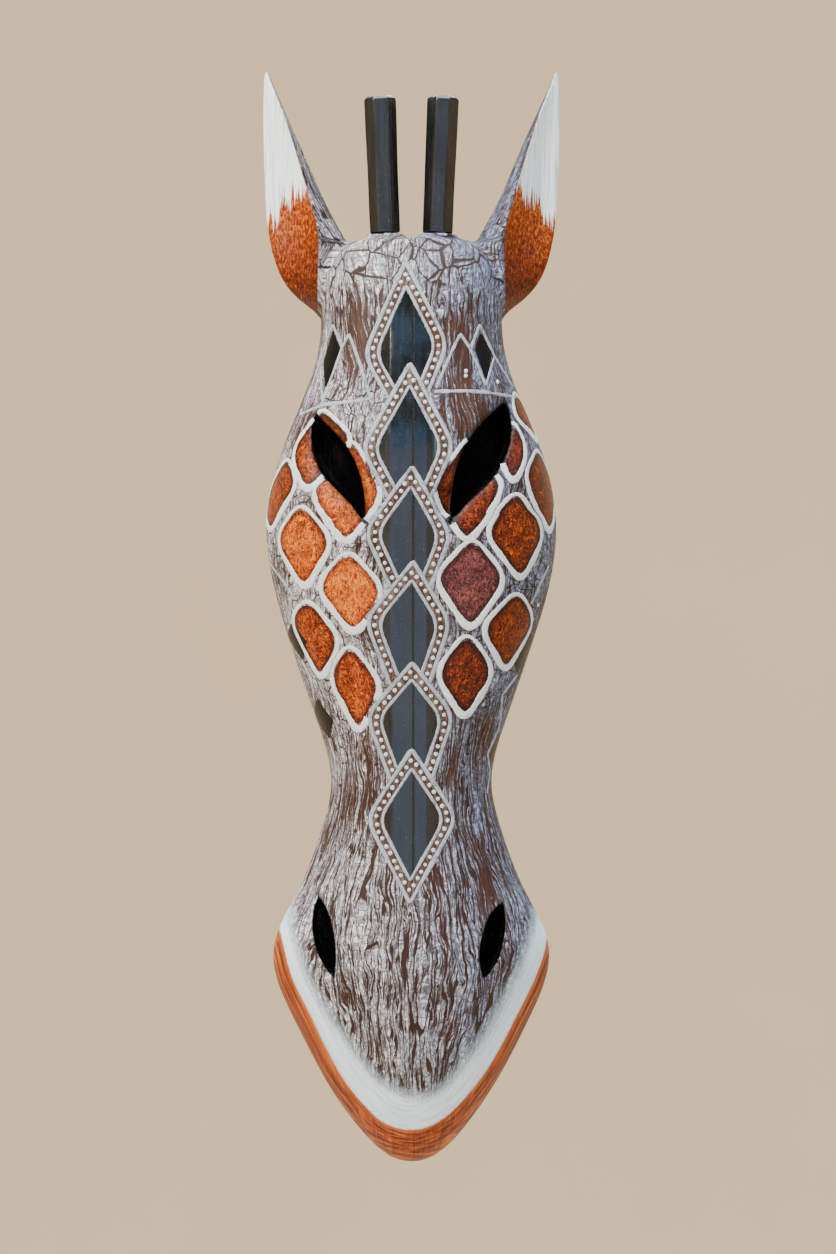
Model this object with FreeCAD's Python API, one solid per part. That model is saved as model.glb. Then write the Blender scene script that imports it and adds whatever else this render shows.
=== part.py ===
"""Carved wooden giraffe head that hangs on a wall.

Frame: millimetres, +Z up, the wall is the plane Y = 0 and the face looks along -Y.
The origin is the point of the wall behind the top of the hanging ring, where the nail goes in.
Heights in the named dimensions are measured from the chin, so height HOOK_HEIGHT is Z = 0.
"""
import FreeCAD, Part
import math
import os

Vector = FreeCAD.Vector
X_AXIS = Vector(1, 0, 0)
Y_AXIS = Vector(0, 1, 0)
Z_AXIS = Vector(0, 0, 1)

HOOK_HEIGHT = 395.0        # height of the nail above the chin
BEHIND_WALL = 6.0          # how far cutting bodies reach behind the wall plane

# The carved block from the chin to the crown: height, half width, depth from the wall.
HEAD_STATIONS = [
    (0.0, 5.0, 17.0),       # blunt tip of the chin
    (3.5, 12.5, 24.0),
    (12.5, 21.8, 32.0),
    (36.0, 38.5, 44.0),
    (64.0, 53.0, 53.0),
    (98.0, 63.0, 57.0),     # muzzle, at the nostrils
    (126.0, 51.4, 55.0),
    (150.0, 42.2, 53.0),
    (173.0, 36.8, 53.0),    # waist of the snout
    (200.0, 42.6, 57.0),
    (236.0, 55.0, 65.0),
    (270.0, 64.2, 72.0),
    (292.0, 66.0, 74.5),    # cheeks
    (320.0, 61.0, 74.0),    # brow
    (346.0, 51.0, 68.0),
    (373.0, 42.2, 60.0),    # narrow of the forehead, under the ears
    (396.0, 41.0, 54.0),
    (411.0, 38.0, 46.0),
    (418.7, 32.0, 39.0),
    (422.0, 24.0, 32.0),    # flat of the crown
]
SIDE_SHARE = 0.30          # share of the depth at which a section is widest
BACK_WIDTH_SHARE = 0.93    # width at the wall as a share of the widest
ROUNDNESS = 2.35           # exponent of the section's front, 2 is an ellipse
FRONT_STEPS = 10           # spans of a section's front curve

# Ears: height, outer edge, ridge, inner edge (all from the centre), ridge depth, scoop depth.
EAR_STATIONS = [
    (384.0, 41.5, 36.0, 28.0, 26.0, 0.0),
    (394.0, 51.0, 40.0, 28.0, 29.0, 0.0),
    (404.0, 59.5, 41.5, 28.0, 31.0, 1.0),
    (416.0, 64.0, 42.0, 28.0, 31.0, 4.5),
    (430.0, 66.5, 43.5, 34.5, 29.0, 6.0),
    (446.0, 67.6, 48.0, 42.3, 26.0, 5.5),
    (463.0, 68.3, 53.0, 49.5, 22.5, 4.0),
    (480.0, 68.7, 58.8, 57.0, 18.5, 2.0),
    (492.0, 68.3, 63.2, 62.4, 14.5, 0.8),
    (500.0, 67.8, 66.4, 66.0, 11.0, 0.0),
]
EAR_BACK = 2.5             # gap between the back of the ears and the wall
EAR_EDGE = 10.0            # depth of the ear's thin outer edge
EAR_RIM_SHARE = 0.62       # depth of the inner edge as a share of the ridge's

# Eyes and nostrils are blind leaf shapes, each side carved a little differently: the two tips,
# then points down the nose side and the outer side, as distance from the centre and height.
LEFT_EYE = (
    [(-43.0, 340.6), (-20.6, 290.6)],
    [(-38.2, 335.6), (-31.0, 327.8), (-25.2, 318.4), (-21.4, 305.5)],
    [(-44.6, 331.0), (-41.2, 316.0), (-34.0, 307.0), (-26.9, 299.6)],
)
RIGHT_EYE = (
    [(42.2, 346.4), (16.6, 289.8)],
    [(33.9, 338.2), (25.1, 327.5), (20.5, 316.0), (17.9, 303.5)],
    [(44.8, 333.0), (42.0, 321.4), (35.8, 310.6), (25.6, 300.8)],
)
EYE_DEPTH = 6.0
LEFT_NOSTRIL = (
    [(-42.0, 123.4), (-34.8, 86.4)],
    [(-37.0, 114.5), (-34.2, 99.5)],
    [(-44.5, 110.5), (-41.6, 97.0)],
)
RIGHT_NOSTRIL = (
    [(41.4, 120.6), (32.5, 86.0)],
    [(34.9, 113.8), (30.7, 98.4)],
    [(42.2, 109.4), (39.1, 95.4)],
)
NOSTRIL_DEPTH = 4.0
LEAF_FRONT = -90.0         # cutting prisms reach from here
LEAF_BACK = -16.0          # to here

# Gouged hollow in the back: height, half width, depth. The shelf above it takes the hanger.
HOLLOW_STATIONS = [
    (50.0, 8.0, 3.0),
    (54.0, 17.0, 9.0),
    (63.0, 29.0, 18.0),
    (80.0, 42.0, 30.0),
    (103.0, 47.5, 37.0),
    (132.0, 35.0, 37.0),
    (173.0, 22.5, 36.0),
    (214.0, 33.5, 43.0),
    (258.0, 48.0, 53.0),
    (292.0, 51.0, 56.0),
    (314.0, 45.0, 49.0),
    (330.0, 34.0, 35.0),
    (340.0, 22.0, 19.0),
]
SHELF_BOTTOM = 330.0
SHELF_TOP = 404.0
SHELF_HALF_WIDTH = 21.0
SHELF_DEPTH = 12.0
SHELF_CORNER = 12.0

# Ossicones: octagonal pegs with a round tenon, standing on collars of the crown.
HORN_BASE_X = 11.9
HORN_BASE_Y = -27.0
HORN_BASE_HEIGHT = 423.8
HORN_LENGTH = 62.6
HORN_LEAN = 2.3            # degrees outwards
HORN_BASE_ACROSS = 13.8    # across flats
HORN_TOP_ACROSS = 14.8
HORN_CHAMFER = 1.8
HORN_SIDES = 8
COLLAR_RADIUS = 9.0
COLLAR_HEIGHT = 12.0
TENON_RADIUS = 4.5
TENON_LENGTH = 17.0
SOCKET_CLEARANCE = 0.1
SOCKET_EXTRA = 1.0         # glue room at the bottom of the socket

# Hanger: a steel strap with a curled end that carries a D-shaped wire ring.
WIRE_RADIUS = 1.3
RING_HEIGHT = 17.0         # from the bar to the top of the arc, on the wire's centre line
RING_HALF_WIDTH = 10.0
RING_CORNER = 2.8
RING_LEAN = 3.0            # degrees that the hung ring leans in from the vertical
BORE_CLEARANCE = 0.08
STRAP_THICKNESS = 1.1
STRAP_WIDTH = 12.0
STRAP_LENGTH = 31.0        # from the bar's axis to the far end
STRAP_CORNER = 3.0
SCREW_DROPS = [8.0, 25.0]  # from the bar's axis down to each screw
SCREW_LENGTH = 12.0
SCREW_RADIUS = 1.5
SCREW_HOLE_CLEARANCE = 0.2
PILOT_RADIUS = 1.3
PILOT_DEPTH = 13.0
SCREW_HEAD_RADIUS = 3.0
SCREW_HEAD_HEIGHT = 2.0
SCREW_HEAD_ROUND = 1.0
CROSS_SLOT_LENGTH = 3.4
CROSS_SLOT_WIDTH = 0.7
CROSS_SLOT_DEPTH = 1.2

BARREL_RADIUS = WIRE_RADIUS + BORE_CLEARANCE + STRAP_THICKNESS
BAR_Y = -SHELF_DEPTH + BARREL_RADIUS
BAR_Z = WIRE_RADIUS - RING_HEIGHT * math.cos(math.radians(RING_LEAN))
STRAP_FACE_Y = -SHELF_DEPTH + STRAP_THICKNESS


def level(height):
    """Z of a height above the chin."""
    return height - HOOK_HEIGHT


def spline(points):
    """One smooth edge through the points."""
    curve = Part.BSplineCurve()
    curve.interpolate(points)
    return curve.toShape()


def line(x0, z0, x1, z1):
    """Straight edge in the wall plane."""
    return Part.LineSegment(Vector(x0, 0, z0), Vector(x1, 0, z1)).toShape()


def corner_arc(x, z, radius, start):
    """Quarter circle about (x, z) in the wall plane, turning up from the start angle."""
    points = []
    for angle in (start, start + 45, start + 90):
        turn = math.radians(angle)
        points.append(Vector(x + radius * math.cos(turn), 0, z + radius * math.sin(turn)))
    return Part.Arc(*points).toShape()


def closed_section(front_points):
    """Wire of a smooth front and a straight back between its two ends."""
    front = spline(front_points)
    back = Part.LineSegment(front_points[-1], front_points[0]).toShape()
    return Part.Wire([front, back])


def arch_section(height, half_width, depth):
    """Horizontal section of the block: an arch that stands on the wall."""
    z = level(height)
    side = SIDE_SHARE * depth
    right = [
        Vector(BACK_WIDTH_SHARE * half_width, BEHIND_WALL, z),
        Vector((1 + BACK_WIDTH_SHARE) / 2 * half_width, -side / 3, z),
    ]
    front = []
    for step in range(FRONT_STEPS + 1):
        angle = math.pi * step / FRONT_STEPS
        across = abs(math.cos(angle)) ** (2 / ROUNDNESS)
        x = math.copysign(half_width * across, math.cos(angle))
        y = -side - (depth - side) * math.sin(angle) ** (2 / ROUNDNESS)
        front.append(Vector(x, y, z))
    left = [Vector(-p.x, p.y, p.z) for p in reversed(right)]
    return closed_section(right + front + left)


def arch_loft(stations):
    """Solid through the arch sections of the stations."""
    return Part.makeLoft([arch_section(*station) for station in stations], True)


def head_block(inset=0.0):
    """The whole block from chin to crown, or the same block with its front set back."""
    return arch_loft([
        (height, max(half_width - inset, 1.0), max(depth - inset, 2.0))
        for height, half_width, depth in HEAD_STATIONS
    ])


def shelf():
    """Flat-floored recess above the hollow for the strap and the ring, round at the top."""
    a = SHELF_HALF_WIDTH
    low = level(SHELF_BOTTOM)
    high = level(SHELF_TOP)
    shoulder = high - SHELF_CORNER
    outline = Part.Wire([
        line(-a, low, a, low),
        line(a, low, a, shoulder),
        corner_arc(a - SHELF_CORNER, shoulder, SHELF_CORNER, 0),
        line(a - SHELF_CORNER, high, SHELF_CORNER - a, high),
        corner_arc(SHELF_CORNER - a, shoulder, SHELF_CORNER, 90),
        line(-a, shoulder, -a, low),
    ])
    floor = Part.Face(outline)
    floor.translate(-Y_AXIS * SHELF_DEPTH)
    return floor.extrude(Y_AXIS * (SHELF_DEPTH + BEHIND_WALL))


def ear_section(side, height, outer, ridge, inner, ridge_depth, scoop_depth):
    """Horizontal section of an ear: flat back, thick inner rim, ridge, scooped front."""
    z = level(height)

    def at(x, y):
        return Vector(side * x, y, z)

    outer_back = at(outer - 1.0, -EAR_BACK)
    outer_front = at(outer, -min(EAR_EDGE, 0.9 * ridge_depth))
    middle = at((outer + ridge) / 2, (outer_front.y - ridge_depth) / 2 + scoop_depth)
    top = at(ridge, -ridge_depth)
    inner_front = at(inner, -EAR_RIM_SHARE * ridge_depth)
    inner_back = at(inner + 0.5, -EAR_BACK)
    return Part.Wire([
        Part.LineSegment(outer_back, outer_front).toShape(),
        spline([outer_front, middle, top]),
        Part.LineSegment(top, inner_front).toShape(),
        Part.LineSegment(inner_front, inner_back).toShape(),
        Part.LineSegment(inner_back, outer_back).toShape(),
    ])


def ear(side):
    """One ear, +1 on the right or -1 on the left."""
    return Part.makeLoft([ear_section(side, *station) for station in EAR_STATIONS], True)


def leaf_recess(leaf, depth):
    """Leaf-shaped cut from the front whose floor follows the block's surface."""
    def at(point):
        return Vector(point[0], LEAF_FRONT, level(point[1]))

    tips, nose_side, outer_side = leaf
    upper, lower = [at(tip) for tip in tips]
    edges = [spline([upper] + [at(p) for p in points] + [lower])
             for points in (nose_side, outer_side)]
    prism = Part.Face(Part.Wire(edges)).extrude(Y_AXIS * (LEAF_BACK - LEAF_FRONT))
    return prism.cut(head_block(inset=depth))


def horn_place(side):
    """Placement of an ossicone's own frame: its shoulder at z = 0, its length along z."""
    lean = FreeCAD.Rotation(Y_AXIS, side * HORN_LEAN)
    return FreeCAD.Placement(
        Vector(side * HORN_BASE_X, HORN_BASE_Y, level(HORN_BASE_HEIGHT)), lean)


def octagon(across, z):
    """Octagon across flats, with one flat to the front."""
    radius = across / 2 / math.cos(math.pi / HORN_SIDES)
    corners = []
    for index in range(HORN_SIDES + 1):
        angle = (index + 0.5) * 2 * math.pi / HORN_SIDES
        corners.append(Vector(radius * math.cos(angle), radius * math.sin(angle), z))
    return Part.makePolygon(corners)


def ossicone(side):
    """Octagonal peg, chamfered at the top, on a round tenon."""
    shaft_top = HORN_LENGTH - HORN_CHAMFER
    shaft = Part.makeLoft([
        octagon(HORN_BASE_ACROSS, 0),
        octagon(HORN_TOP_ACROSS, shaft_top),
    ], True, True)
    cap = Part.makeLoft([
        octagon(HORN_TOP_ACROSS, shaft_top),
        octagon(HORN_TOP_ACROSS - 2 * HORN_CHAMFER, HORN_LENGTH),
    ], True, True)
    tenon = Part.makeCylinder(TENON_RADIUS, TENON_LENGTH, Vector(0, 0, -TENON_LENGTH))
    peg = shaft.fuse([cap, tenon]).removeSplitter()
    peg.Placement = horn_place(side)
    return peg


def collar(side):
    """Raised ring of the crown that the ossicone stands on."""
    body = Part.makeCylinder(COLLAR_RADIUS, COLLAR_HEIGHT, Vector(0, 0, -COLLAR_HEIGHT))
    body.Placement = horn_place(side)
    return body


def socket(side):
    """Drilled hole for the tenon."""
    depth = TENON_LENGTH + SOCKET_EXTRA
    bore = Part.makeCylinder(TENON_RADIUS + SOCKET_CLEARANCE, depth + 1, Vector(0, 0, -depth))
    bore.Placement = horn_place(side)
    return bore


def screw_centres():
    """Points on the strap's face where the two screws go in."""
    return [Vector(0, STRAP_FACE_Y, BAR_Z - drop) for drop in SCREW_DROPS]


def pilot_holes():
    """Holes in the shelf's floor for the screws."""
    holes = []
    for centre in screw_centres():
        start = Vector(0, -SHELF_DEPTH + 1, centre.z)
        holes.append(Part.makeCylinder(PILOT_RADIUS, PILOT_DEPTH + 1, start, -Y_AXIS))
    return holes


def carved_head():
    """Head, neck stub and ears, carved from one block."""
    body = head_block()
    for side in (-1, 1):
        body = body.fuse([ear(side), collar(side)])
    wall_side = Part.makeBox(400, 100, 700, Vector(-200, 0, level(-50)))
    cuts = [wall_side, arch_loft(HOLLOW_STATIONS), shelf()] + pilot_holes()
    cuts += [socket(side) for side in (-1, 1)]
    cuts += [leaf_recess(eye, EYE_DEPTH) for eye in (LEFT_EYE, RIGHT_EYE)]
    cuts += [leaf_recess(nostril, NOSTRIL_DEPTH) for nostril in (LEFT_NOSTRIL, RIGHT_NOSTRIL)]
    for tool in cuts:
        body = body.cut(tool)
    return body


def ring_path():
    """Closed D: the bar, the right side, the arc over the top and the left side."""
    a = RING_HALF_WIDTH
    r = RING_CORNER
    shoulder = RING_HEIGHT - a
    return Part.Wire([
        line(0, 0, a - r, 0),
        corner_arc(a - r, r, r, -90),
        line(a, r, a, shoulder),
        corner_arc(0, shoulder, a, 0),
        corner_arc(0, shoulder, a, 90),
        line(-a, shoulder, -a, r),
        corner_arc(r - a, r, r, 180),
        line(r - a, 0, 0, 0),
    ])


def hanger_ring():
    """Wire ring, leaning in against the shelf's floor as it does when hung."""
    circle = Part.Wire(Part.makeCircle(WIRE_RADIUS, Vector(0, 0, 0), X_AXIS))
    ring = ring_path().makePipeShell([circle], True, False)
    lean = FreeCAD.Rotation(X_AXIS, RING_LEAN)
    ring.Placement = FreeCAD.Placement(Vector(0, BAR_Y, BAR_Z), lean)
    return ring


def hanger_strap():
    """Flat strap with two screw holes and a curled end round the ring's bar."""
    plate = Part.makeBox(
        STRAP_WIDTH, STRAP_THICKNESS, STRAP_LENGTH,
        Vector(-STRAP_WIDTH / 2, -SHELF_DEPTH, BAR_Z - STRAP_LENGTH))
    far_z = BAR_Z - STRAP_LENGTH
    corners = [
        edge for edge in plate.Edges
        if abs(edge.CenterOfMass.z - far_z) < 0.01 and edge.Length < STRAP_WIDTH - 1
    ]
    plate = plate.makeFillet(STRAP_CORNER, corners)
    end = Vector(-STRAP_WIDTH / 2, BAR_Y, BAR_Z)
    strap = plate.fuse(Part.makeCylinder(BARREL_RADIUS, STRAP_WIDTH, end, X_AXIS))
    strap = strap.cut(Part.makeCylinder(WIRE_RADIUS + BORE_CLEARANCE, STRAP_WIDTH, end, X_AXIS))
    for centre in screw_centres():
        hole_radius = SCREW_RADIUS + SCREW_HOLE_CLEARANCE
        start = centre + Y_AXIS
        strap = strap.cut(Part.makeCylinder(hole_radius, STRAP_THICKNESS + 2, start, -Y_AXIS))
    return strap


def screw(centre):
    """Round-headed wood screw with a cross slot, driven along -Y."""
    head = Part.makeCylinder(SCREW_HEAD_RADIUS, SCREW_HEAD_HEIGHT, centre, Y_AXIS)
    rim_y = centre.y + SCREW_HEAD_HEIGHT
    rim = [edge for edge in head.Edges if abs(edge.CenterOfMass.y - rim_y) < 0.01]
    head = head.makeFillet(SCREW_HEAD_ROUND, rim[:1])
    shank = Part.makeCylinder(SCREW_RADIUS, SCREW_LENGTH - 3, centre, -Y_AXIS)
    tip_start = centre - Y_AXIS * (SCREW_LENGTH - 3)
    tip = Part.makeCone(SCREW_RADIUS, 0.2, 3, tip_start, -Y_AXIS)
    body = head.fuse([shank, tip])
    slot_y = rim_y - CROSS_SLOT_DEPTH
    for length, width in ((CROSS_SLOT_LENGTH, CROSS_SLOT_WIDTH), (CROSS_SLOT_WIDTH, CROSS_SLOT_LENGTH)):
        corner = Vector(-length / 2, slot_y, centre.z - width / 2)
        body = body.cut(Part.makeBox(length, CROSS_SLOT_DEPTH + 1, width, corner))
    return body


def write(name, shape):
    """Write one node and say what it is."""
    if not shape.isValid():
        raise ValueError(name + " is not a valid solid")
    shape.exportStep("parts/" + name + ".step")
    box = shape.BoundBox
    print(name, len(shape.Solids), "solids,", round(shape.Volume), "mm3,",
          [round(v, 1) for v in (box.XMin, box.XMax, box.YMin, box.YMax, box.ZMin, box.ZMax)])


def main():
    os.makedirs("parts", exist_ok=True)
    write("carved_head", carved_head())
    write("left_ossicone", ossicone(-1))
    write("right_ossicone", ossicone(1))
    write("hanger_strap", hanger_strap())
    write("hanger_ring", hanger_ring())
    write("hanger_screws", Part.makeCompound([screw(centre) for centre in screw_centres()]))


main()
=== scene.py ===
"""Looks of the carved giraffe head: paint, lacquer, sand lines, gouged back and hanger metal.

Everything is in metres in the shared frame. The face looks along -Y and the wall is Y = 0.
"""
import math

import bmesh
import bpy
import numpy as np
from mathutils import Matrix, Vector
from mathutils.bvhtree import BVHTree


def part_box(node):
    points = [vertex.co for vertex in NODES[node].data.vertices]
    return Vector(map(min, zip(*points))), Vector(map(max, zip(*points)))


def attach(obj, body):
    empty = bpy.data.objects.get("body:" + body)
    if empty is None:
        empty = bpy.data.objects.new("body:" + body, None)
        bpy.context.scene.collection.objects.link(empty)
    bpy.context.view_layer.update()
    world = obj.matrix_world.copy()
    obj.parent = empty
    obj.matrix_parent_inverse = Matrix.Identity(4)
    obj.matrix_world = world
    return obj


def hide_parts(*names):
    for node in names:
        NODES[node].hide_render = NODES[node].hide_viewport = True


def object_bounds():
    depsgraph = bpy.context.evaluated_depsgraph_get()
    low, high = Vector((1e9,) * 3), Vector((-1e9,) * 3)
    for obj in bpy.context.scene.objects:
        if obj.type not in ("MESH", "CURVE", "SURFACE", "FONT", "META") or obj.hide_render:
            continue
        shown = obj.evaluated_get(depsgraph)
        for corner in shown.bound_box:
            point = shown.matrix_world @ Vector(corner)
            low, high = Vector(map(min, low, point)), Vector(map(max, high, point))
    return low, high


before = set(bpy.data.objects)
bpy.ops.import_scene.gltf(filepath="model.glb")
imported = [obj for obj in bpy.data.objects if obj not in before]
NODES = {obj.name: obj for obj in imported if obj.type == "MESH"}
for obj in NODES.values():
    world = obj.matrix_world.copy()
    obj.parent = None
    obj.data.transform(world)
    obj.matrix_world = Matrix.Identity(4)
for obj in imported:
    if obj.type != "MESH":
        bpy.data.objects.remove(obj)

CAD_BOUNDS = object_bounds()
RNG = np.random.default_rng(7)
MM = 0.001

# The drawings below are in millimetres, x from the centre line and height above the chin. Paint is
# drawn as it is seen from in front, where nearer skin looks larger than the plane of the ears.
CHIN_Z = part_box("carved_head")[0].z
DRAWN_PLANE_Y = -0.012
DRAWN_FROM = 2.155         # metres in front of that plane
DRAWN_EYE_LEVEL = 245.0

# Paint sizes, in millimetres.
INNER_LINE = 0.75          # centre of a lozenge's inner sand line, outside the black
DOT_LINE = 3.15            # centre of its row of dots
OUTER_LINE = 5.5           # centre of its outer sand line
INNER_WIDTH = 1.5
OUTER_WIDTH = 1.9
LINE_LIFT = 0.32
DOT_RADIUS = 0.98
DOT_LIFT = 0.65
DOT_PITCH = 3.65
BORDER_WIDTH = 2.4
BORDER_LIFT = 0.20
THIN_LINE = 1.5
THIN_LIFT = 0.24

# Six lacquered lozenges down the nose, as top, right, bottom, left. Each covers the one above.
LOZENGES = [
    [(-2.4, 399.5), (10.5, 374.0), (-1.5, 345.0), (-15.5, 370.0)],
    [(-0.7, 354.0), (13.3, 327.5), (-0.5, 297.0), (-16.2, 326.5)],
    [(-0.2, 308.0), (12.0, 286.5), (-0.2, 256.0), (-14.8, 288.0)],
    [(0.2, 265.0), (11.7, 246.0), (-0.6, 210.0), (-14.6, 247.0)],
    [(0.2, 219.5), (13.2, 203.0), (0.0, 164.0), (-14.2, 203.0)],
    [(0.2, 178.5), (14.4, 157.0), (-0.5, 130.0), (-14.0, 156.5)],
]
LOZENGE_CUT = (1.0, 6.5, 1.0, 6.5)

# Brown spots with white borders, as top, right, bottom, left of the brown, and how light each is: partly
# each spot's own tone, partly painted shade, darker on the right-hand side.
SPOTS = [
    ([(-57.5, 319.5), (-54.5, 309.5), (-64.0, 291.5), (-67.5, 300.5)], 0.28),
    ([(-41.0, 342.0), (-29.5, 330.5), (-47.0, 310.5), (-53.0, 325.0)], 0.34),
    ([(-27.5, 326.5), (-16.0, 306.0), (-30.0, 287.0), (-43.0, 306.0)], 0.68),
    ([(-50.5, 298.0), (-39.0, 284.0), (-49.0, 266.0), (-60.0, 284.5)], 0.66),
    ([(-29.0, 276.5), (-15.5, 261.5), (-26.5, 245.0), (-40.5, 263.0)], 0.80),
    ([(-47.0, 254.5), (-35.0, 239.0), (-42.0, 224.5), (-53.5, 246.5)], 0.40),
    ([(-28.0, 233.5), (-16.0, 217.5), (-24.5, 200.5), (-35.5, 221.5)], 0.46),
    ([(47.5, 350.5), (55.0, 343.0), (57.0, 331.5), (49.0, 341.0)], 0.18),
    ([(46.5, 336.5), (52.0, 326.0), (47.0, 313.5), (42.5, 322.0)], 0.18),
    ([(58.0, 323.5), (66.0, 308.0), (63.0, 291.5), (54.0, 313.5)], 0.12),
    ([(27.0, 328.0), (39.0, 306.5), (25.5, 288.0), (12.5, 309.0)], 0.22),
    ([(48.0, 303.5), (59.0, 288.0), (50.0, 270.0), (37.0, 288.0)], 0.27),
    ([(28.0, 282.0), (40.5, 266.5), (27.0, 247.5), (14.0, 267.0)], 0.05),
    ([(48.0, 258.0), (54.5, 246.0), (43.5, 228.0), (35.0, 244.0)], 0.24),
    ([(25.5, 238.5), (35.5, 224.0), (24.5, 206.5), (14.0, 223.5)], 0.16),
]
SPOT_SWELL = 1.20
SPOT_CUT = (7.5, 8.5, 7.5, 8.5)

# Eyes and nostrils as carved: the two tips, then points down the nose side and the outer side.
LEFT_EYE = (
    [(-43.0, 340.6), (-20.6, 290.6)],
    [(-38.2, 335.6), (-31.0, 327.8), (-25.2, 318.4), (-21.4, 305.5)],
    [(-44.6, 331.0), (-41.2, 316.0), (-34.0, 307.0), (-26.9, 299.6)],
)
RIGHT_EYE = (
    [(42.2, 346.4), (16.6, 289.8)],
    [(33.9, 338.2), (25.1, 327.5), (20.5, 316.0), (17.9, 303.5)],
    [(44.8, 333.0), (42.0, 321.4), (35.8, 310.6), (25.6, 300.8)],
)
LEFT_NOSTRIL = (
    [(-42.0, 123.4), (-34.8, 86.4)],
    [(-37.0, 114.5), (-34.2, 99.5)],
    [(-44.5, 110.5), (-41.6, 97.0)],
)
RIGHT_NOSTRIL = (
    [(41.4, 120.6), (32.5, 86.0)],
    [(34.9, 113.8), (30.7, 98.4)],
    [(42.2, 109.4), (39.1, 95.4)],
)

# Lip: outer edges of the grey inside and of the white band, from the left corner down and round.
LIP_GREY = [(-55.0, 108.0), (-52.0, 97.0), (-47.5, 84.5), (-38.5, 67.5), (-28.0, 53.0), (-20.0, 42.5),
            (-13.0, 35.5), (-4.0, 31.0), (4.5, 29.5), (12.5, 32.0), (22.5, 42.5), (34.0, 58.0),
            (42.5, 74.0), (48.5, 86.0), (54.0, 102.0), (57.0, 112.0)]
LIP_WHITE = [(-60.5, 108.0), (-59.0, 102.0), (-54.5, 84.5), (-46.5, 68.0), (-38.5, 51.5), (-31.0, 38.0),
             (-22.0, 26.5), (-13.5, 18.5), (-4.5, 15.0), (4.5, 15.0), (12.5, 18.5), (21.0, 25.5),
             (31.5, 38.0), (40.0, 51.5), (48.0, 67.0), (56.0, 83.0), (61.0, 97.5), (62.0, 110.0)]

# Ridge between an ear's grey rim and its painted face: height, distance from the centre.
EAR_RIDGE = [(388.0, 43.0), (400.0, 43.0), (420.0, 42.5), (430.0, 43.5), (447.0, 48.5), (464.0, 53.5),
             (481.0, 59.0), (492.0, 63.5), (500.0, 66.6)]
EAR_FACE_BOTTOM = 389.0
EAR_BROWN_TOP = 446.0     # at the ridge

# Small black shapes on the neck and down the sides. The last number carries them round the side.
BLACK_MARKS = [
    ([(-36.0, 381.3), (-32.3, 372.1), (-39.4, 353.6), (-40.2, 367.1)], 0.0),
    ([(31.6, 380.0), (37.0, 370.4), (34.4, 356.9), (29.0, 372.1)], 0.0),
    ([(-54.5, 247.0), (-47.8, 238.0), (-49.3, 229.0), (-55.0, 240.3)], 9.0),
    ([(-43.1, 212.0), (-35.5, 201.7), (-37.2, 193.5), (-43.0, 203.0)], 8.0),
    ([(54.3, 242.3), (55.0, 239.5), (48.4, 223.3), (46.0, 229.2)], 9.0),
    ([(40.1, 196.9), (41.0, 190.0), (36.3, 180.7), (34.7, 183.5)], 7.0),
]

# Thin sand lines on the neck and down the sides, as seen from the front.
THIN_LINES = [
    [(-48.8, 345.6), (-41.9, 366.6), (-41.3, 368.7), (-36.0, 383.4), (-31.7, 372.9), (-34.5, 364.8),
     (-40.1, 349.4)],
    [(-41.9, 366.6), (-41.1, 352.4), (-40.4, 347.4)],
    [(-31.7, 372.9), (-28.6, 379.0), (-23.6, 365.5), (-18.8, 349.7)],
    [(-51.3, 342.0), (-40.4, 346.6), (-25.4, 348.3), (-18.0, 349.7)],
    [(46.5, 354.7), (38.1, 368.7), (31.4, 383.4), (27.2, 372.1), (34.2, 355.3), (38.1, 368.7)],
    [(11.4, 354.3), (18.4, 370.8), (22.5, 378.9), (27.2, 372.1)],
    [(11.0, 352.7), (26.2, 352.9), (34.9, 352.2), (47.9, 350.1)],
    [(-64.8, 273.9), (-54.8, 260.0), (-56.0, 246.5)],
    [(-50.4, 229.3), (-45.7, 220.6), (-44.5, 211.5)],
    [(-37.8, 193.5), (-35.1, 184.3), (-34.6, 174.8)],
    [(62.9, 272.7), (55.0, 255.3)],
    [(48.4, 222.6), (41.7, 213.6), (40.9, 202.4), (39.6, 196.9)],
    [(39.6, 197.3), (34.9, 186.6), (36.1, 178.7), (34.6, 168.5)],
]
LOOSE_DOTS = [(-30.0, 356.4), (25.0, 362.0), (25.0, 359.8), (39.5, 357.0), (58.0, 254.8)]

# Where the brown shows through the wash more (above 0) or less: x, height, reach across and up.
WORN = [
    (-25.0, 375.0, 9.0, 26.0, 0.85),
    (20.0, 366.0, 8.0, 26.0, 0.85),
    (0.0, 416.0, 44.0, 13.0, -0.60),
    (-26.0, 350.0, 10.0, 10.0, -0.35),
    (-48.0, 262.0, 12.0, 14.0, -0.30),
    (-25.0, 175.0, 12.0, 24.0, 0.45),
    (24.0, 180.0, 10.0, 34.0, 0.55),
    (50.0, 262.0, 12.0, 20.0, 0.30),
    (0.0, 60.0, 26.0, 34.0, -0.35),
    (-42.0, 130.0, 14.0, 20.0, -0.20),
    (17.0, 125.0, 10.0, 30.0, 0.30),
    (30.0, 340.0, 9.0, 12.0, 0.90),
]


def as_array(points):
    return np.array(points, float)


# ---------------------------------------------------------------- outlines on the unrolled skin

def rounded(corners, cut, steps=6):
    """Closed outline whose corners are cut to smooth curves that start `cut` before them."""
    corners = as_array(corners)
    before = np.roll(corners, 1, axis=0)
    after = np.roll(corners, -1, axis=0)
    cuts = np.broadcast_to(cut, len(corners))
    outline = []
    for corner, last, following, reach in zip(corners, before, after, cuts):
        to_last = last - corner
        to_next = following - corner
        start = corner + to_last * min(0.48, reach / np.linalg.norm(to_last))
        end = corner + to_next * min(0.48, reach / np.linalg.norm(to_next))
        for t in np.linspace(0, 1, steps):
            outline.append((1 - t) ** 2 * start + 2 * t * (1 - t) * corner + t ** 2 * end)
    return np.array(outline)


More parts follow.
